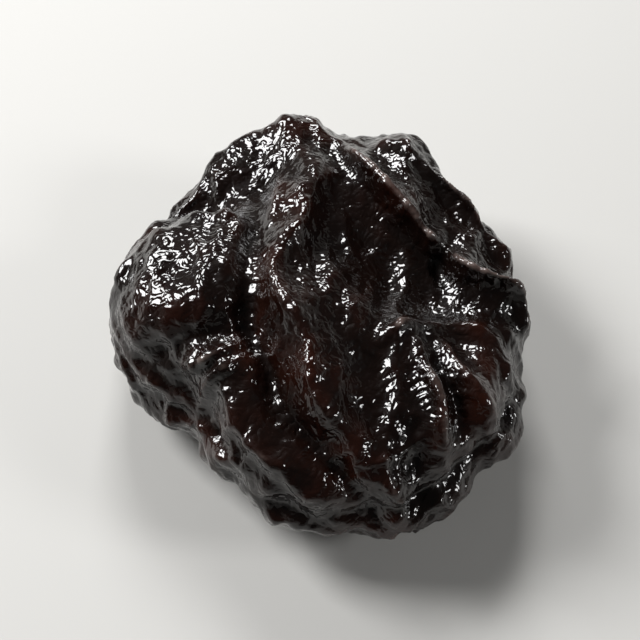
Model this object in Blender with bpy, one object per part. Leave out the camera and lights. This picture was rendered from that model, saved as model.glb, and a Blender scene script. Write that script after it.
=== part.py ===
"""A pitted prune: a plum dried whole, flattened and wrinkled, lying on its broad side.

The stem end points to +Y and the upper face to +Z. The body starts as a box that is divided and rounded,
takes the fruit's outline and crown, and then gets its hollows, folds and wrinkles one after another.
The fine mesh is thinned at the end, which leaves the most triangles where the skin bends the most.
"""

import itertools
import math
import random

import bmesh
import bpy
import numpy as np
from mathutils import Vector

MM = 0.001

# Driving dimensions of the dried fruit.
CROWN = 13.8 * MM  # top of the puffed upper face, above the underside
UNDERSIDE = -1.0 * MM  # lowest point of the round body, before it settles on the surface
PUFFINESS = 2.15  # 2 is an ellipse in cross-section, more is fuller at the shoulders

# Outline seen from above: radii in mm at equal steps, anticlockwise from +X.
OUTLINE_RADII = (
    17.4, 18.0, 17.9, 19.2, 18.8, 18.7, 18.2, 18.4,
    17.3, 16.4, 15.3, 16.6, 18.4, 19.2, 18.4, 17.7,
)
# Height of the widest line of the rim in mm, at equal steps, anticlockwise from +X.
RIM_HEIGHTS = (6.8, 7.6, 7.0, 6.6, 6.0, 5.4, 4.6, 5.2)

# Divisions of the starting box, its height for a width of 1, and the share of its triangles that is kept.
ACROSS = 88
UPRIGHT = 26
BOX_HEIGHT = 0.62
KEPT_SHARE = 0.215

# Wide hollows (negative) and swellings (positive) of the upper face:
# centre x, y in mm, half-axes in mm, turn in degrees, height in mm, and how steep the edge is,
# where 1 is a round mound.
UPPER_SWELLS = (
    ((7.6, 2.4), (8.8, 5.8), -42.0, -3.7, 1.3),  # the broad smooth hollow on the right
    ((-11.2, 0.4), (5.8, 5.9), 0.0, 1.9, 2.4),  # the flat-topped left lobe
    ((-9.4, 10.6), (6.6, 3.0), 24.0, -2.6, 1.3),  # the dip behind the lobe
    ((-11.5, -9.4), (5.0, 2.6), -40.0, -1.5, 1.3),  # the drawn-in lower left side
    ((4.8, -9.4), (2.6, 5.0), 10.0, -0.8, 1.3),  # the panel between the main fold and the forked ridge
    ((12.2, 10.2), (5.0, 1.8), -45.0, -1.3, 1.3),  # the strip outside the rim fold
    ((7.6, 16.4), (2.8, 2.2), 0.0, 0.9, 1.3),  # the small swelling at the far right
    ((-3.0, 17.2), (2.2, 2.0), 0.0, 1.1, 1.3),  # the knob at the stem end
    ((12.4, -9.6), (3.2, 3.6), 0.0, 0.6, 1.3),  # the full lower right shoulder
)
# Hollows of the underside, near the rim.
LOWER_SWELLS = (
    ((11.8, 6.6), (4.6, 3.2), 40.0, -1.2, 1.3),
    ((-11.0, 9.0), (4.4, 3.0), -35.0, -1.1, 1.3),
    ((-10.4, -8.4), (4.4, 2.8), 30.0, -0.9, 1.3),
    ((9.6, -11.0), (4.2, 2.8), -30.0, -1.1, 1.3),
)

# Folds of the upper face: height in mm (a furrow is negative), half-width in mm, and the points
# x, y in mm that the fold runs through. A ridge is skin pinched up, sharp at its crest.
UPPER_FOLDS = (
    # the long fold from the knob, down the middle and to the near right
    (
        1.7, 1.1,
        (
            (-3.0, 18.6), (-1.4, 13.5), (-1.8, 5.7), (-3.9, 1.1), (-3.0, -2.3),
            (-1.0, -6.5), (-0.2, -11.0), (2.9, -14.4), (6.4, -17.2),
        ),
    ),
    # the furrow beside it
    (
        -1.7, 1.0,
        ((-5.8, 14.6), (-5.3, 6.0), (-5.8, -3.1), (-4.0, -8.6), (-1.9, -12.8), (1.4, -15.6), (4.2, -18.2)),
    ),
    # the rim fold
    (
        2.5, 0.55,
        ((-0.6, 19.2), (2.7, 13.6), (7.2, 9.0), (10.8, 5.2), (14.0, 2.6), (16.8, 0.2), (17.6, -3.6)),
    ),
    (1.5, 0.6, ((5.6, 15.6), (9.9, 12.8), (13.4, 9.6), (16.8, 4.8))),  # the fold outside it
    # the near lip, which rolls under from the right side to the near end, and the crease above it
    (1.2, 0.7, ((17.2, -4.3), (15.6, -9.0), (12.5, -13.9), (7.8, -17.6), (2.0, -18.6), (-2.5, -17.8))),
    (-1.4, 0.6, ((16.6, -4.1), (15.1, -8.7), (12.1, -13.4), (7.6, -17.0), (1.9, -18.0), (-2.4, -17.2))),
    (1.7, 0.65, ((4.2, -5.8), (7.6, -3.8), (11.6, -3.0), (14.6, -4.4))),  # the fork of the right ridge
    (1.6, 0.65, ((7.0, -3.0), (8.4, -7.4), (9.2, -11.2), (9.6, -14.0))),  # its stem
    (1.5, 0.8, ((9.6, -3.4), (11.3, -8.2), (12.8, -10.6), (15.6, -11.8))),
    (-1.1, 0.8, ((9.6, -5.4), (10.2, -9.0), (11.2, -13.0))),
    (0.9, 0.8, ((14.8, -4.6), (15.2, -7.2), (15.6, -9.8))),
    (1.4, 0.65, ((-16.2, -6.2), (-9.8, -6.6), (-5.0, -5.4))),  # two short ridges in front of the lobe
    (1.2, 0.65, ((-11.2, -9.8), (-7.8, -8.0), (-4.8, -6.4))),
    (-1.1, 0.8, ((-15.8, -5.0), (-10.4, -5.2), (-6.2, -4.6))),
    # the outer near fold
    (1.4, 0.9, ((-7.8, -7.4), (-6.2, -10.8), (-5.2, -12.8), (-2.8, -15.2), (2.0, -18.0))),
    (1.0, 0.8, ((-11.0, -11.4), (-7.4, -14.8), (-2.6, -17.8))),
    (-0.8, 0.8, ((3.6, -10.4), (6.6, -13.6), (8.8, -17.0))),
    (1.0, 0.65, ((-16.6, 5.6), (-11.4, 6.2), (-6.9, 6.3), (-6.0, 2.8))),  # the far edge of the lobe
    (1.2, 0.8, ((-15.4, 11.4), (-11.2, 14.4), (-7.0, 16.6), (-3.6, 17.4))),  # the far rim of the dip
    (0.6, 0.8, ((-0.4, 9.6), (2.0, 6.6), (3.0, 2.6))),  # faint folds in the broad hollow
    (0.5, 0.8, ((7.4, 7.6), (9.8, 3.4), (10.6, 0.2))),
    (0.6, 0.8, ((0.2, 2.4), (2.4, -1.6), (3.4, -6.2))),
    (0.8, 0.8, ((2.4, -8.6), (4.6, -11.2), (7.6, -15.4))),
)

# Folds of the underside, which the fruit hides: they run from the rim towards the flat spot it lies on.
LOWER_FOLDS = (
    (1.1, 1.1, ((1.0, 18.2), (2.4, 14.6), (1.2, 10.8))),
    (-1.2, 1.1, ((-3.4, 17.6), (-2.6, 13.6), (-4.6, 9.4))),
    (1.0, 1.0, ((16.0, 10.6), (12.8, 9.4), (10.6, 7.2))),
    (-1.1, 1.0, ((17.0, 2.0), (13.6, 1.4), (10.6, 2.4))),
    (1.0, 1.0, ((16.4, -7.4), (13.2, -6.2), (9.8, -5.4))),
    (0.9, 1.0, ((7.4, -17.4), (6.8, -13.8), (4.2, -10.6))),
    (-1.1, 1.0, ((0.6, -17.6), (0.8, -14.0), (-1.2, -10.4))),
    (1.0, 1.0, ((-10.4, -12.8), (-8.6, -10.4), (-6.6, -8.8))),
    (1.0, 1.0, ((-16.4, -3.4), (-13.2, -2.4), (-9.6, -3.4))),
    (-1.0, 1.0, ((-16.8, 4.0), (-13.4, 3.0), (-10.0, 1.2))),
    (0.9, 1.0, ((-13.4, 12.6), (-11.4, 10.0), (-8.0, 8.4))),
)

FOLD_MERGING = 2.5  # 1 adds up folds that meet, and more lets the higher one win
FOLD_WOBBLE = 1.1 * MM  # how far a fold strays from its smooth line
FOLD_WOBBLE_SIZE = 4.5 * MM
FOLD_WOBBLE_SEED = 20

# Long folds run along the rim, and shorter pleats gather the skin across it.
RIM_FOLDS = 11
RIM_FOLD_HEIGHT = 1.35 * MM
RIM_FOLD_HALF_WIDTH = 1.0 * MM
PLEATS = 13
PLEAT_HEIGHT = 1.1 * MM
PLEAT_HALF_WIDTH = 0.95 * MM
RIM_SEED = 11

# Wrinkles over the whole skin: size of a wrinkle, its height and its seed.
WRINKLES = ((6.5 * MM, 0.7 * MM, 5), (3.2 * MM, 0.45 * MM, 9))
WRINKLE_STRETCH = 1.7  # they run longer from the stem end to the tip than across
NOISE_SLOPES = 1021  # a prime number of random slopes, from which each corner of the noise takes one
# Large odd numbers for x, y, z and the seed, so that neighbouring corners take unlike slopes.
NOISE_SCATTER = (73856093, 19349663, 83492791, 2654435)

# The scar where the stone was pressed out, low on the far side.
SCAR_TURN = math.radians(100.0)
SCAR_TILT = math.radians(97.0)  # from straight up
SCAR_RADIUS = 3.4 * MM
SCAR_DEPTH = 2.0 * MM
SCAR_LIP = 0.5 * MM
SCAR_PUCKERS = 7
SCAR_PUCKER_HEIGHT = 0.35 * MM

FLAT_SPOT = 0.85 * MM  # how far the soft underside is pressed flat where the fruit lies on it

SKIN_COLOUR = (0.012, 0.005, 0.004, 1.0)
SKIN_ROUGHNESS = 0.22


def clear_scene():
    for thing in list(bpy.data.objects):
        bpy.data.objects.remove(thing, do_unlink=True)


def rounded_box():
    """A box divided evenly across and upright, with its corners pushed out to the unit sphere."""
    form = bmesh.new()
    bmesh.ops.create_cube(form, size=2.0)
    upright_edges = [e for e in form.edges if abs(e.verts[0].co.z - e.verts[1].co.z) > 1.0]
    level_edges = [e for e in form.edges if e not in upright_edges]
    bmesh.ops.subdivide_edges(form, edges=level_edges, cuts=ACROSS - 1, use_grid_fill=True)
    upright_edges = [e for e in form.edges if abs(e.verts[0].co.z - e.verts[1].co.z) > 1.0]
    bmesh.ops.subdivide_edges(form, edges=upright_edges, cuts=UPRIGHT - 1, use_grid_fill=True)
    quarter = math.pi / 4
    for vert in form.verts:
        even = Vector((math.tan(vert.co.x * quarter), math.tan(vert.co.y * quarter), vert.co.z * BOX_HEIGHT))
        vert.co = even.normalized()
    mesh = bpy.data.meshes.new("prune")
    form.to_mesh(mesh)
    form.free()
    return mesh


def around(values, angle):
    """Smooth periodic curve through values at equal steps of angle, by Catmull-Rom."""
    values = np.asarray(values)
    place = np.mod(angle, math.tau) / math.tau * len(values)
    first = np.floor(place).astype(int)
    t = place - first
    before, here, after, beyond = (values[(first + k) % len(values)] for k in (-1, 0, 1, 2))
    bend = 2 * before - 5 * here + 4 * after - beyond
    cube = 3 * (here - after) + beyond - before
    return 0.5 * (2 * here + (after - before) * t + bend * t**2 + cube * t**3)


def body_points(directions):
    """Points of the smooth, unwrinkled fruit in these directions from its middle."""
    turn = np.arctan2(directions[:, 1], directions[:, 0])
    out = np.hypot(directions[:, 0], directions[:, 1])
    up = directions[:, 2]
    fuller = (out**PUFFINESS + np.abs(up) ** PUFFINESS) ** (-1.0 / PUFFINESS)
    out, up = out * fuller, up * fuller
    radius = around(OUTLINE_RADII, turn) * MM
    rim = around(RIM_HEIGHTS, turn) * MM
    middle = np.mean(RIM_HEIGHTS) * MM
    level = middle + (rim - middle) * np.clip(out, 0, 1) ** 2
    reach = np.where(up > 0, CROWN - level, level - UNDERSIDE)
    return np.column_stack((radius * out * np.cos(turn), radius * out * np.sin(turn), level + reach * up))


def on_face(x, y, side):
    """The point of the smooth fruit above (side 1) or below (side -1) the place x, y in mm."""
    turn = math.atan2(y, x)
    share = min(math.hypot(x, y) / float(around(OUTLINE_RADII, turn)), 1.0)
    up = (1.0 - share**PUFFINESS) ** (1.0 / PUFFINESS)
    return body_points(np.array([[share * math.cos(turn), share * math.sin(turn), side * up]]))[0]


def smooth_route(points, steps=12):
    """Points along the Catmull-Rom curve through these points."""
    points = np.asarray(points)
    ends = np.vstack((2 * points[0] - points[1], points, 2 * points[-1] - points[-2]))
    route = []
    for before, here, after, beyond in zip(ends, ends[1:], ends[2:], ends[3:]):
        for t in np.linspace(0, 1, steps, endpoint=False):
            bend = 2 * before - 5 * here + 4 * after - beyond
            cube = 3 * (here - after) + beyond - before
            route.append(0.5 * (2 * here + (after - before) * t + bend * t**2 + cube * t**3))
    route.append(points[-1])
    return np.array(route)


def distance_to_route(points, route):
    """Distance from each point to the route, and how far along it the nearest place lies, from 0 to 1."""
    nearest = np.full(len(points), np.inf)
    along = np.zeros(len(points))
    for k, (start, end) in enumerate(zip(route, route[1:])):
        step = end - start
        t = np.clip((points - start) @ step / (step @ step), 0, 1)
        gap = np.linalg.norm(points - start - t[:, None] * step, axis=1)
        closer = gap < nearest
        nearest = np.where(closer, gap, nearest)
        along = np.where(closer, (k + t) / (len(route) - 1), along)
    return nearest, along


def random_slopes():
    slopes = np.random.default_rng(3).normal(size=(NOISE_SLOPES, 3))
    return slopes / np.linalg.norm(slopes, axis=1)[:, None]


def noise(place, seed):
    """Smooth noise between about -0.8 and 0.8, blended between a random slope at each whole-number corner."""
    slopes = random_slopes()
    across, along, up, other = NOISE_SCATTER
    corner = np.floor(place).astype(np.int64)
    inside = place - corner
    blend = inside**3 * (inside * (inside * 6 - 15) + 10)
    total = np.zeros(len(place))
    for step in itertools.product((0, 1), repeat=3):
        x, y, z = (corner + step).T
        slope = slopes[((x * across) ^ (y * along) ^ (z * up) ^ (seed * other)) % NOISE_SLOPES]
        share = np.prod(np.where(np.array(step) == 1, blend, 1 - blend), axis=1)
        total += share * np.sum(slope * (inside - step), axis=1)
    return total


def noise_shift(place, seed):
    return np.column_stack([noise(place, seed + k) for k in (1, 2, 3)])


def wobbled(points):
    """The points shifted by a slow noise, so that smooth fold lines waver as dried skin does."""
    return points + noise_shift(points / FOLD_WOBBLE_SIZE, FOLD_WOBBLE_SEED) * FOLD_WOBBLE


def fold_height(points, route, height, half_width):
    """A pinched fold along the route: sharp at its crest, wide at its foot, fading at both ends."""
    gap, along = distance_to_route(points, route)
    crest = 0.6 * half_width
    across = np.exp((crest - np.hypot(gap, crest)) / half_width)
    fade = np.sin(math.pi * np.clip(along, 0.04, 0.96)) ** 0.6
    return height * across * fade


def merged(folds):
    """Folds that meet run into one another instead of adding up: ridges with ridges, furrows with furrows."""
    ridges = sum(np.maximum(fold, 0) ** FOLD_MERGING for fold in folds) ** (1 / FOLD_MERGING)
    furrows = sum(np.maximum(-fold, 0) ** FOLD_MERGING for fold in folds) ** (1 / FOLD_MERGING)
    return ridges - furrows


def swell_height(points, centre, half_axes, turn, height, edge):
    """A wide swelling, or a hollow where the height is negative."""
    away = points[:, :2] / MM - np.array(centre)
    c, s = math.cos(math.radians(turn)), math.sin(math.radians(turn))
    along = (away[:, 0] * c + away[:, 1] * s) / half_axes[0]
    across = (away[:, 1] * c - away[:, 0] * s) / half_axes[1]
    return height * MM * np.exp(-((along**2 + across**2) ** edge))


def face_share(directions, side):
    """1 on the upper face (side 1) or underside (side -1), falling to 0 past the rim."""
    return np.clip((side * directions[:, 2] + 0.35) / 0.5, 0, 1)


def rim_route(turns, tilts):
    """The route over the smooth fruit through directions given by turn about Z and tilt from straight up."""
    level = np.sin(tilts)
    directions = np.column_stack((level * np.cos(turns), level * np.sin(turns), np.cos(tilts)))
    return smooth_route(body_points(directions))


def rim_folds():
    """Route, height and half-width of the long folds along the rim and of the slanted pleats across it."""
    dice = random.Random(RIM_SEED)
    for k in range(RIM_FOLDS):
        middle = (k + dice.uniform(-0.4, 0.4)) * math.tau / RIM_FOLDS
        reach = dice.uniform(0.35, 0.75)
        turns = middle + np.linspace(-reach, reach, 5)
        tilts = math.pi / 2 + dice.uniform(-0.35, 0.6) + np.array([dice.uniform(-0.28, 0.28) for _ in turns])
        height = RIM_FOLD_HEIGHT * dice.uniform(0.5, 1.0) * (1 if dice.random() < 0.6 else -1)
        yield rim_route(turns, tilts), height, RIM_FOLD_HALF_WIDTH
    for k in range(PLEATS):
        middle = (k + dice.uniform(-0.4, 0.4)) * math.tau / PLEATS
        slant = dice.uniform(-0.35, 0.35)
        tilts = math.pi / 2 + np.linspace(-dice.uniform(0.4, 1.0), dice.uniform(0.4, 1.0), 5)
        turns = middle + slant * np.linspace(-1, 1, 5) + np.array([dice.uniform(-0.07, 0.07) for _ in tilts])
        height = PLEAT_HEIGHT * dice.uniform(0.3, 1.0) * (1 if dice.random() < 0.6 else -1)
        yield rim_route(turns, tilts), height, PLEAT_HALF_WIDTH


def wrinkle_height(points, size, height, seed):
    """Pinched wrinkles of this size: thin ridges where a warped noise crosses zero."""
    place = points / size
    place[:, 1] /= WRINKLE_STRETCH
    warped = place + 1.1 * noise_shift(place * 0.7, seed)
    return height * np.clip(0.5 - 2.6 * np.abs(noise(warped, seed)), -0.6, 0.5)


def scar_height(points, middle, outward):
    """The puckered dimple over the pressed-out stone, with the skin drawn towards it in small ribs."""
    away = points - middle
    flat = away - (away @ outward)[:, None] * outward
    side = np.cross(outward, (0.0, 0.0, 1.0))
    side /= np.linalg.norm(side)
    turn = np.arctan2(flat @ np.cross(outward, side), flat @ side)
    gap = np.linalg.norm(away, axis=1) / SCAR_RADIUS
    dimple = -SCAR_DEPTH * np.exp(-((gap / 0.62) ** 2))
    lip = SCAR_LIP * np.exp(-(((gap - 1.15) / 0.4) ** 2))
    ribs = np.cos(SCAR_PUCKERS * turn + 1.5 * np.sin(turn)) * np.exp(-(((gap - 1.0) / 0.6) ** 2))
    return dimple + lip + SCAR_PUCKER_HEIGHT * ribs


def raised(mesh, heights):
    """Moves each vertex along its normal by its height."""
    count = len(mesh.vertices)
    points = np.empty(count * 3)
    normals = np.empty(count * 3)
    mesh.vertices.foreach_get("co", points)
    mesh.vertex_normals.foreach_get("vector", normals)
    points += normals * np.repeat(heights, 3)
    mesh.vertices.foreach_set("co", points)
    mesh.update()


def shape_skin(mesh):
    """Gives the rounded box the fruit's body, then its hollows, folds, pleats, wrinkles and scar."""
    count = len(mesh.vertices)
    directions = np.empty(count * 3)
    mesh.vertices.foreach_get("co", directions)
    directions = directions.reshape(-1, 3)
    body = body_points(directions)
    mesh.vertices.foreach_set("co", body.ravel())
    mesh.update()

    swells = np.zeros(count)
    for side, wanted in ((1, UPPER_SWELLS), (-1, LOWER_SWELLS)):
        for swell in wanted:
            swells += swell_height(body, *swell) * face_share(directions, side)
    raised(mesh, swells)

    place = wobbled(body)
    folds = [fold_height(place, *fold) for fold in rim_folds()]
    for side, wanted in ((1, UPPER_FOLDS), (-1, LOWER_FOLDS)):
        for height, half_width, points in wanted:
            route = smooth_route([on_face(x, y, side) for x, y in points])
            fold = fold_height(place, route, height * MM, half_width * MM)
            folds.append(fold * face_share(directions, side))
    wrinkles = sum(wrinkle_height(body, *wrinkle) for wrinkle in WRINKLES)
    level = math.sin(SCAR_TILT)
    outward = np.array((level * math.cos(SCAR_TURN), level * math.sin(SCAR_TURN), math.cos(SCAR_TILT)))
    scar = scar_height(body, body_points(outward[None])[0], outward)
    raised(mesh, merged(folds) + wrinkles + scar)


def thinned(prune):
    """The prune's mesh with its triangles merged where the skin is nearly flat."""
    thin = prune.modifiers.new("thin", "DECIMATE")
    thin.ratio = KEPT_SHARE
    mesh = bpy.data.meshes.new_from_object(prune.evaluated_get(bpy.context.evaluated_depsgraph_get()))
    prune.modifiers.remove(thin)
    return mesh


def settle(mesh):
    """Presses the underside flat where the fruit lies on it, and puts the origin under its middle."""
    points = np.empty(len(mesh.vertices) * 3)
    mesh.vertices.foreach_get("co", points)
    points = points.reshape(-1, 3)
    floor = points[:, 2].min() + FLAT_SPOT
    points[:, 2] = np.maximum(points[:, 2], floor)
    lowest, highest = points.min(axis=0), points.max(axis=0)
    points -= np.array(((lowest[0] + highest[0]) / 2, (lowest[1] + highest[1]) / 2, floor))
    mesh.vertices.foreach_set("co", points.ravel())
    mesh.update()


def skin_material():
    material = bpy.data.materials.new("prune_skin")
    material.use_nodes = True
    shader = material.node_tree.nodes["Principled BSDF"]
    shader.inputs["Base Color"].default_value = SKIN_COLOUR
    shader.inputs["Roughness"].default_value = SKIN_ROUGHNESS
    return material


def build_prune():
    mesh = rounded_box()
    shape_skin(mesh)
    prune = bpy.data.objects.new("prune", mesh)
    fruit = bpy.data.collections.new("pitted_prune")
    bpy.context.scene.collection.children.link(fruit)
    fruit.objects.link(prune)
    prune.data = thinned(prune)
    prune.data.name = "prune"
    settle(prune.data)
    prune.data.shade_smooth()
    prune.data.materials.append(skin_material())


clear_scene()
build_prune()
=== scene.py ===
import itertools
import math

import bmesh
import bpy
import numpy as np
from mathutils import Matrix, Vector


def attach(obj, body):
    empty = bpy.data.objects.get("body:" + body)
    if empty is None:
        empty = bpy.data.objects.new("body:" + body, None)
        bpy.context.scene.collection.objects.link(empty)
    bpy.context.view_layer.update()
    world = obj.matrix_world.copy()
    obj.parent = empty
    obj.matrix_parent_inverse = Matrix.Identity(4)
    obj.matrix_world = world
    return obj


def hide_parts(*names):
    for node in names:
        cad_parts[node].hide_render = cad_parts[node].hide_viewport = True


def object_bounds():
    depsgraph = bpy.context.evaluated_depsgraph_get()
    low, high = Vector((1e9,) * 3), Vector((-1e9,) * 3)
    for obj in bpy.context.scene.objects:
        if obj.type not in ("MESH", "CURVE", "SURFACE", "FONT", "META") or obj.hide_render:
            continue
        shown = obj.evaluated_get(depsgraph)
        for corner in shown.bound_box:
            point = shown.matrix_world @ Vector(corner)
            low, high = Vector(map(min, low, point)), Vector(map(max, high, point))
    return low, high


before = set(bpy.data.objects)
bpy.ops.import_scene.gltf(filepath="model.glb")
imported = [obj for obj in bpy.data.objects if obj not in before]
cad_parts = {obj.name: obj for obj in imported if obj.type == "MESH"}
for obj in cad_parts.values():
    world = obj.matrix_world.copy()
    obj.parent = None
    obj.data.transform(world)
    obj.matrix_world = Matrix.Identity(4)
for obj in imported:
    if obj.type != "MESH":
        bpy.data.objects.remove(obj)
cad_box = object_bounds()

MM = 0.001

# The skin's own mesh is an even net of quads, fine enough for the smallest wrinkle that is modelled.
NET = 0.21 * MM
WELD = 0.001 * MM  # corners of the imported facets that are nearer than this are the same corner

# Distances along the skin over which its form is softened, to tell its details apart.
FACET_REACH = 0.33 * MM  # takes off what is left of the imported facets
CREST_REACH = 0.71 * MM  # what stands out from the skin softened this far is a crest, or a furrow
FOLD_REACH = 1.8 * MM  # what stands out from this is a whole fold
FLANK_REACH = 1.2 * MM  # over which the lean of the skin is read
CRINKLE_REACH = 0.2 * MM  # over which the strength of the crinkle is evened out

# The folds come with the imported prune. Here their crests are drawn out thinner and the furrows deepened.
CREST_SHARPENING = 1.3
FURROW_SHARPENING = 0.5
HIGH_CREST = 0.12 * MM  # what stands out beyond this is pinched to a thin edge
HIGH_CREST_SHARPENING = 1.8

# Where something starts, and where it is complete.
TAUT = (0.03 * MM, 0.17 * MM)  # a pale highlight is painted along a crest that stands out this far
HIGHLIGHTED_CREST = (0.07 * MM, 0.17 * MM)  # and rubbed dry and dull there
FLANK = (0.95, 0.40)  # how far the skin faces up: from nearly level to steep
OFF_TABLE = (0.0, 0.9 * MM)  # height at which the wrinkles end, so that the flat spot stays flat
FOLD_SHADE = (-1.0 * MM, 1.0 * MM)  # from a furrow darkened with painted shade to the brownest fold

# Wrinkles of the dried skin: spacing, height and seed.
FINE_WRINKLES = ((2.6 * MM, 0.16 * MM, 31), (1.3 * MM, 0.10 * MM, 41))
FLANK_WRINKLES = (3.4 * MM, 0.30 * MM, 61)  # larger ones, where the fruit curves down to the table
WRINKLE_STRETCH = 1.5  # they run longer from the stem end to the tip than across
WRINKLE_STRAY = 1.2  # how far they stray from a straight course, in spacings
STRAY_TURNS = 0.6  # how often they turn, for each spacing
CREST_THINNESS = 3.2  # 1 is a round crest, more is a thin one between wide hollows

# The crinkle of the surface, too fine for the net: size of a cell of skin and height of its edges.
CRINKLES = ((1.0 * MM, 0.22 * MM), (0.5 * MM, 0.11 * MM))
CELL_STRAY = 0.8  # how far a cell is pulled out of shape, in its own sizes

# The patches in which the crinkle is strong or faint, and the lengths of crest that get a painted highlight:
# size and seed.
CRINKLE_PATCH = (5.0 * MM, 77)
HIGHLIGHT_PATCH = (1.1 * MM, 99)

# The pit scar, low on the far side of the fruit, with flesh showing out to a ragged edge.
SCAR_PLACE = (-3.0 * MM, 18.6 * MM, 4.6 * MM)
SCAR_RADIUS = 2.6 * MM
SCAR_NOTCH = (1.4 * MM, 88)  # size of the notches in its edge, and seed
SCAR_RAGGEDNESS = 0.5  # depth of the notches, in radii

# Colours of the skin from a furrow to a fold, each with its place on the way: brown where it is thin over a
# fold, and near-black painted shade in a furrow.
SKIN_TONES_AND_FURROW_SHADE = ((0.12, "#070302"), (0.26, "#0e0503"), (0.42, "#240d06"))
TONE_PATCH = 7.0 * MM  # size of the patches in which the skin ripened alike
AMBER_FLESH = "#6b3410"
# Painted highlight: a pale colour laid along the sharpest crests.
PAINTED_CREST_HIGHLIGHT = "#8a7a74"
LAMINATE_WHITE = "#bab9b6"

# Sockets of Blender's colour mix, which share their names with those of its other kinds.
UNDER, OVER, MIXED = 6, 7, 2

# A table top in metres: radius of its flat middle, and the height and width of the sweep round it.
TABLE_RADIUS = 0.45
TABLE_SWEEP = 0.3
SWEEP_STEPS = 14
TABLE_SIDES = 96
TABLE_CENTRE = 0.02  # radius of the one face in the middle

LOOKED_AT = Vector((0, 0, 7 * MM))
# Soft lights: azimuth and elevation in degrees, distance and size in metres, power in watts.
LIGHTS = {
    "key_light": (243, 38, 0.42, 0.165, 2.5),  # from behind on the left, so that the broad hollow stays dark
    "back_light": (184, 40, 0.42, 0.125, 1.3),
    "side_light": (80, 28, 0.62, 0.15, 1.5),
}
STUDIO_FILL = 0.04  # faint light from all round

CAMERA_ELEVATION = 58  # degrees, as the photograph sees the fruit's broad face
CAMERA_LENS = 85  # mm
FRUIT_SHARE = 0.66  # of the picture's width

NOISE_SEED = 3
NOISE_SLOPES = 1021  # a prime number of random slopes, from which each corner of the noise takes one
# Large odd numbers for x, y, z and the seed, so that neighbouring corners take unlike slopes.
NOISE_SCATTER = (73856093, 19349663, 83492791, 2654435)


def linear(hex_colour):
    """An sRGB hex colour as linear red, green, blue and alpha."""
    parts = [int(hex_colour[k : k + 2], 16) / 255 for k in (1, 3, 5)]
    return tuple(c / 12.92 if c <= 0.04045 else ((c + 0.055) / 1.055) ** 2.4 for c in parts) + (1.0,)


def between(values, ends):
    """0 where a value is at the first of the two ends or before it, 1 at the other, and even on the way."""
    start, full = ends
    return np.clip((values - start) / (full - start), 0, 1)


def noise(place, seed):
    """Smooth noise between about -0.8 and 0.8, blended between a random slope at each whole-number corner."""
    slopes = np.random.default_rng(NOISE_SEED).normal(size=(NOISE_SLOPES, 3))
    slopes /= np.linalg.norm(slopes, axis=1)[:, None]
    across, along, up, other = NOISE_SCATTER
    corner = np.floor(place).astype(np.int64)
    inside = place - corner
    blend = inside**3 * (inside * (inside * 6 - 15) + 10)
    total = np.zeros(len(place))
    for step in itertools.product((0, 1), repeat=3):
        x, y, z = (corner + step).T
        slope = slopes[((x * across) ^ (y * along) ^ (z * up) ^ (seed * other)) % NOISE_SLOPES]
        share = np.prod(np.where(np.array(step) == 1, blend, 1 - blend), axis=1)
        total += share * np.sum(slope * (inside - step), axis=1)
    return total


def wrinkles(points, spacing, height, seed):
    """Thin winding crests with shallow hollows between them: how far each point is raised or sunk."""
    place = points / spacing
    place[:, 1] /= WRINKLE_STRETCH
    stray = np.column_stack([noise(place * STRAY_TURNS, seed + k) for k in (1, 2, 3)])
    from_crest = np.abs(noise(place + WRINKLE_STRAY * stray, seed))
    return height * (0.5 - np.clip(CREST_THINNESS * from_crest, 0, 1))


class Net:
    """The edges of a mesh, for averaging a value with its neighbours'."""

    def __init__(self, mesh):
        ends = np.empty(len(mesh.edges) * 2, dtype=np.int32)
        mesh.edges.foreach_get("vertices", ends)
        ends = ends.reshape(-1, 2)
        self.here = np.concatenate((ends[:, 0], ends[:, 1]))
        self.there = np.concatenate((ends[:, 1], ends[:, 0]))
        self.size = len(mesh.vertices)
        self.degree = np.bincount(self.here, minlength=self.size)

    def averaged(self, values):
        """Each value as the mean of its neighbours'."""
        if values.ndim == 1:
            return np.bincount(self.here, weights=values[self.there], minlength=self.size) / self.degree
        return np.column_stack([self.averaged(column) for column in values.T])

    def softened(self, values, reach):
        """Each value blended with those round it, out to about this distance along the skin."""
        for _ in range(round((reach / NET) ** 2)):
            values = 0.5 * (values + self.averaged(values))
        return values


def coordinates(mesh):
    """The mesh's points, a row for each."""
    points = np.empty(len(mesh.vertices) * 3)
    mesh.vertices.foreach_get("co", points)
    return points.reshape(-1, 3)


def outward(mesh):
    """The direction out of the skin at each point."""
    normals = np.empty(len(mesh.vertices) * 3)
    mesh.vertex_normals.foreach_get("vector", normals)
    return normals.reshape(-1, 3)


def move_points(mesh, points):
    """Moves the mesh's points to these places."""
    mesh.vertices.foreach_set("co", points.ravel())
    mesh.update()


def keep_value(mesh, name, values):
    """Keeps a value at each point of the mesh, for the material to read."""
    held = mesh.attributes.new(name, "FLOAT", "POINT")
    held.data.foreach_set("value", values.astype(np.float32))


def node(tree, kind, inputs, **settings):
    """Adds a node, sets its properties, and gives each input listed a link or a value of its own."""
    made = tree.nodes.new(kind)
    for name, value in settings.items():
        setattr(made, name, value)
    for socket, given in inputs.items():
        if isinstance(given, bpy.types.NodeSocket):
            tree.links.new(given, made.inputs[socket])
        else:
            made.inputs[socket].default_value = given
    return made


def even_net(skin):
    """The skin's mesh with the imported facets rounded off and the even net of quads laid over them."""
    rounded = skin.modifiers.new("rounded", "SUBSURF")
    rounded.levels = 2
    even = skin.modifiers.new("even", "REMESH")
    even.mode = "VOXEL"
    even.voxel_size = NET
    mesh = bpy.data.meshes.new_from_object(skin.evaluated_get(bpy.context.evaluated_depsgraph_get()))
    skin.modifiers.clear()
    return mesh


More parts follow.
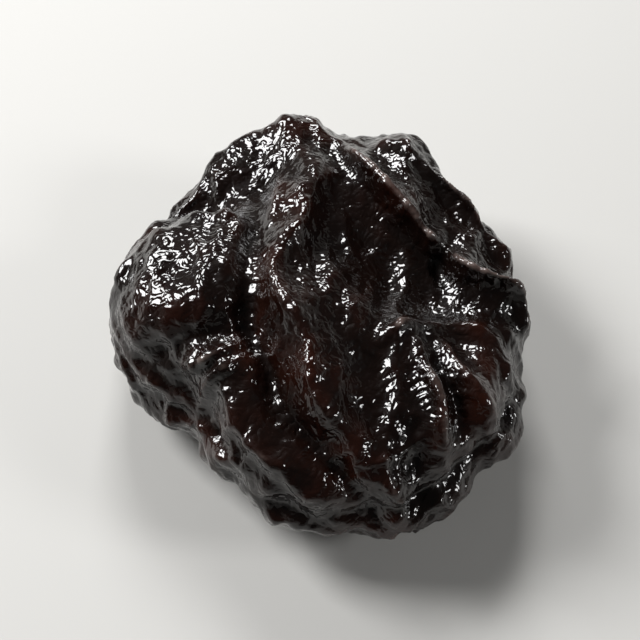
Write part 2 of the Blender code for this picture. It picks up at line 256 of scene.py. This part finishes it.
def wrinkle_strength(fold, flank, taut):
    """How strong the fine wrinkles are: most on folds and flanks, least in hollows and where skin is taut."""
    usual, least, most = 0.62, 0.42, 1.2
    more_on_flanks, lost_when_taut = 0.3, 0.7
    fold_for_one_more = 1.1 * MM
    strength = np.clip(usual + more_on_flanks * flank + fold / fold_for_one_more, least, most)
    return strength * (1 - lost_when_taut * taut)


def crinkle_strength(points, flank, taut):
    """How strong the crinkle is: patchy, a little less on the flanks and hardly any where skin is taut."""
    usual, least, most, patchiness = 0.95, 0.65, 1.1, 0.9
    lost_on_flanks, lost_when_taut = 0.2, 0.8
    size, seed = CRINKLE_PATCH
    patchy = np.clip(usual + patchiness * noise(points / size, seed), least, most)
    return patchy * (1 - lost_when_taut * taut) * (1 - lost_on_flanks * flank)


def crest_highlight(points, crest):
    """How strongly a pale highlight is painted on a crest, in short lengths along it."""
    usual = 0.8
    size, seed = HIGHLIGHT_PATCH
    return between(crest, HIGHLIGHTED_CREST) * np.clip(usual + noise(points / size, seed), 0, 1)


def bared_flesh(points):
    """How much amber flesh shows: all of it in the middle of the pit scar, fading to its ragged edge."""
    last_radius, fading = 1.15, 1.5
    size, seed = SCAR_NOTCH
    from_middle = np.linalg.norm(points - np.array(SCAR_PLACE), axis=1) / SCAR_RADIUS
    ragged = SCAR_RAGGEDNESS * noise(points / size, seed)
    return np.clip(last_radius - from_middle + ragged, 0, 1) ** fading


def fitted(points, model):
    """Brings the points back to the model's length, width and height, with the lowest on the table."""
    points[:, 2] = np.maximum(points[:, 2], 0)
    low, high = points.min(axis=0), points.max(axis=0)
    lowest, highest = model.min(axis=0), model.max(axis=0)
    points[:, :2] = (points[:, :2] - (low + high)[:2] / 2) * ((highest - lowest) / (high - low))[:2]
    points[:, :2] += (lowest + highest)[:2] / 2
    points[:, 2] *= highest[2] / high[2]
    return points


def wrinkled(mesh):
    """Sharpens the folds, lays the wrinkles over them, and keeps the values that the material reads."""
    net = Net(mesh)
    smooth = net.softened(coordinates(mesh), FACET_REACH)
    move_points(mesh, smooth)
    out = outward(mesh)

    fold = np.sum((smooth - net.softened(smooth, FOLD_REACH)) * out, axis=1)
    crest = np.sum((smooth - net.softened(smooth, CREST_REACH)) * out, axis=1)
    taut = between(crest, TAUT)
    flank = between(net.softened(out[:, 2], FLANK_REACH), FLANK)

    raised = crest * np.where(crest > 0, CREST_SHARPENING, FURROW_SHARPENING)
    raised += HIGH_CREST_SHARPENING * np.maximum(crest - HIGH_CREST, 0)
    raised += flank * wrinkles(smooth, *FLANK_WRINKLES)
    raised += wrinkle_strength(fold, flank, taut) * sum(wrinkles(smooth, *kind) for kind in FINE_WRINKLES)
    raised *= between(smooth[:, 2], OFF_TABLE)
    move_points(mesh, fitted(smooth + out * raised[:, None], smooth))

    # Painted shade: the furrows get the darkest skin colour, and the folds the brownest.
    keep_value(mesh, "fold", between(fold, FOLD_SHADE))
    # A pale highlight is painted along the sharpest crests.
    keep_value(mesh, "crest_highlight", crest_highlight(smooth, crest))
    keep_value(mesh, "flesh", bared_flesh(smooth))
    keep_value(mesh, "crinkle", net.softened(crinkle_strength(smooth, flank, taut), CRINKLE_REACH))


def crinkle(tree, place, strength, size, height, beneath):
    """Rounded cells of skin of this size with sharp creases between them, on top of the crinkle beneath."""
    drift = node(tree, "ShaderNodeTexNoise", {"Vector": place, "Scale": STRAY_TURNS / size, "Detail": 0.0})
    pulled = {0: drift.outputs["Color"], 1: (CELL_STRAY * size,) * 3, 2: place}
    moved = node(tree, "ShaderNodeVectorMath", pulled, operation="MULTIPLY_ADD")
    cells = node(tree, "ShaderNodeTexNoise", {"Vector": moved.outputs[0], "Scale": 1 / size, "Detail": 0.0})
    # The creases run where the noise crosses its middle value, 0.5.
    from_middle = node(tree, "ShaderNodeMath", {0: cells.outputs["Fac"], 1: 0.5}, operation="SUBTRACT")
    creased = node(tree, "ShaderNodeMath", {0: from_middle.outputs[0]}, operation="ABSOLUTE")
    relief = {"Height": creased.outputs[0], "Distance": height, "Strength": strength}
    if beneath:
        relief["Normal"] = beneath
    return node(tree, "ShaderNodeBump", relief).outputs["Normal"]


def dried_plum_skin():
    """Plum skin, dried until it shrank and wrinkled, and tacky with its own syrup.

    To the eye it is nearly black, brown where it is thin, with painted shade in the furrows and a pale
    painted highlight on the sharpest crests, under a wet shine in many small hard glints.
    """
    material = bpy.data.materials.new("dried_plum_skin")
    material.use_nodes = True
    tree = material.node_tree
    shader = tree.nodes["Principled BSDF"]
    place = node(tree, "ShaderNodeTexCoord", {}).outputs["Object"]
    value = {}
    for name in ("fold", "flesh", "crest_highlight", "crinkle"):
        value[name] = node(tree, "ShaderNodeAttribute", {}, attribute_name=name).outputs["Fac"]

    # Brown shows where the skin is stretched over a fold, more in some patches than in others, and the
    # furrows are darkened near-black as painted shade.
    patches = node(tree, "ShaderNodeTexNoise", {"Vector": place, "Scale": 1 / TONE_PATCH, "Detail": 3.0})
    fold_brown_and_furrow_shade = node(tree, "ShaderNodeMath", {0: value["fold"], 1: patches.outputs["Fac"]}, operation="MULTIPLY")
    tone = node(tree, "ShaderNodeValToRGB", {"Fac": fold_brown_and_furrow_shade.outputs[0]})
    tone.color_ramp.elements.new(0.5)
    for stop, (position, hex_colour) in zip(tone.color_ramp.elements, SKIN_TONES_AND_FURROW_SHADE):
        stop.position = position
        stop.color = linear(hex_colour)

    # Amber flesh at the scar, and a pale painted highlight along the sharpest crests.
    colour = tone.outputs["Color"]
    for name, hex_colour in (("flesh", AMBER_FLESH), ("crest_highlight", PAINTED_CREST_HIGHLIGHT)):
        layers = {"Factor": value[name], UNDER: colour, OVER: linear(hex_colour)}
        colour = node(tree, "ShaderNodeMix", layers, data_type="RGBA").outputs[MIXED]
    tree.links.new(colour, shader.inputs["Base Color"])

    normal = None
    for size, height in CRINKLES:
        normal = crinkle(tree, place, value["crinkle"], size, height, normal)
    tree.links.new(normal, shader.inputs["Normal"])
    tree.links.new(normal, shader.inputs["Coat Normal"])

    # The skin itself is dull: fruit wax and pulp with an index of about 1.45, half rough from drying.
    shader.inputs["Roughness"].default_value = 0.4
    shader.inputs["IOR"].default_value = 1.45
    shader.inputs["Specular IOR Level"].default_value = 0.05
    # The wet shine is all in the film of syrup, which has the index of strong sugar water and lies smooth.
    shader.inputs["Coat Weight"].default_value = 1.0
    shader.inputs["Coat Roughness"].default_value = 0.05
    shader.inputs["Coat IOR"].default_value = 1.45
    return material


def prune_skin():
    """The prune's own finished piece: skin and flesh in one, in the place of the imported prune."""
    form = bmesh.new()
    form.from_mesh(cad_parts["prune"].data)
    bmesh.ops.remove_doubles(form, verts=form.verts, dist=WELD)
    mesh = bpy.data.meshes.new("prune_skin")
    form.to_mesh(mesh)
    form.free()
    skin = bpy.data.objects.new("prune_skin", mesh)
    bpy.context.scene.collection.objects.link(skin)
    skin.data = even_net(skin)
    wrinkled(skin.data)
    skin.data.shade_smooth()
    skin.data.materials.clear()
    skin.data.materials.append(dried_plum_skin())
    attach(skin, "root")
    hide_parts("prune")


def white_laminate():
    """White melamine laminate, pressed smooth and matt: a pale floor without sharp reflections."""
    material = bpy.data.materials.new("white_laminate")
    material.use_nodes = True
    shader = material.node_tree.nodes["Principled BSDF"]
    shader.inputs["Base Color"].default_value = linear(LAMINATE_WHITE)
    shader.inputs["Roughness"].default_value = 0.7
    return material


def table_top():
    """A round table top whose edge sweeps up into a low backdrop all round."""
    profile = [(TABLE_CENTRE, 0.0), (TABLE_RADIUS, 0.0)]
    for k in range(1, SWEEP_STEPS + 1):
        bend = k / SWEEP_STEPS * math.pi / 2
        profile.append((TABLE_RADIUS + TABLE_SWEEP * math.sin(bend), TABLE_SWEEP * (1 - math.cos(bend))))
    form = bmesh.new()
    line = [form.verts.new((r, 0, z)) for r, z in profile]
    edges = [form.edges.new(pair) for pair in zip(line, line[1:])]
    turn = {"cent": (0, 0, 0), "axis": (0, 0, 1), "angle": math.tau, "steps": TABLE_SIDES}
    bmesh.ops.spin(form, geom=line + edges, use_duplicate=False, **turn)
    bmesh.ops.remove_doubles(form, verts=form.verts, dist=0.1 * MM)
    inner = [edge for edge in form.edges if edge.is_boundary and edge.verts[0].co.z < TABLE_SWEEP / 2]
    bmesh.ops.contextual_create(form, geom=inner)
    mesh = bpy.data.meshes.new("table_top")
    form.to_mesh(mesh)
    form.free()
    mesh.shade_smooth()
    top = bpy.data.objects.new("table_top", mesh)
    top.data.materials.append(white_laminate())
    bpy.context.scene.collection.objects.link(top)


def aimed(name, data, azimuth, elevation, distance):
    """Puts a light or a camera round the fruit and turns it to it. Azimuth 0 is -Y, and 90 is +X."""
    turn, rise = math.radians(azimuth), math.radians(elevation)
    away = Vector((math.sin(turn) * math.cos(rise), -math.cos(turn) * math.cos(rise), math.sin(rise)))
    thing = bpy.data.objects.new(name, data)
    thing.location = LOOKED_AT + away * distance
    thing.rotation_euler = away.to_track_quat("Z", "Y").to_euler()
    bpy.context.scene.collection.objects.link(thing)
    return thing


def studio():
    """Square soft lights round the table, and a faint fill."""
    for name, (azimuth, elevation, distance, size, power) in LIGHTS.items():
        data = bpy.data.lights.new(name, "AREA")
        data.size = size
        data.energy = power
        aimed(name, data, azimuth, elevation, distance)
    world = bpy.data.worlds.new("studio_air")
    bpy.context.scene.world = world
    world.use_nodes = True
    world.node_tree.nodes["Background"].inputs["Color"].default_value = linear("#ffffff")
    world.node_tree.nodes["Background"].inputs["Strength"].default_value = STUDIO_FILL


def camera():
    """Looks down at the fruit as the photograph does."""
    data = bpy.data.cameras.new("camera")
    data.lens = CAMERA_LENS
    data.clip_start = 10 * MM
    width = cad_box[1][0] - cad_box[0][0]
    distance = width / FRUIT_SHARE * CAMERA_LENS / data.sensor_width
    bpy.context.scene.camera = aimed("camera", data, 0, CAMERA_ELEVATION, distance)


prune_skin()
table_top()
studio()
camera()
# This keeps the skin as dark, and its glints as bright, as the light makes them.
bpy.context.scene.view_settings.view_transform = "Standard"
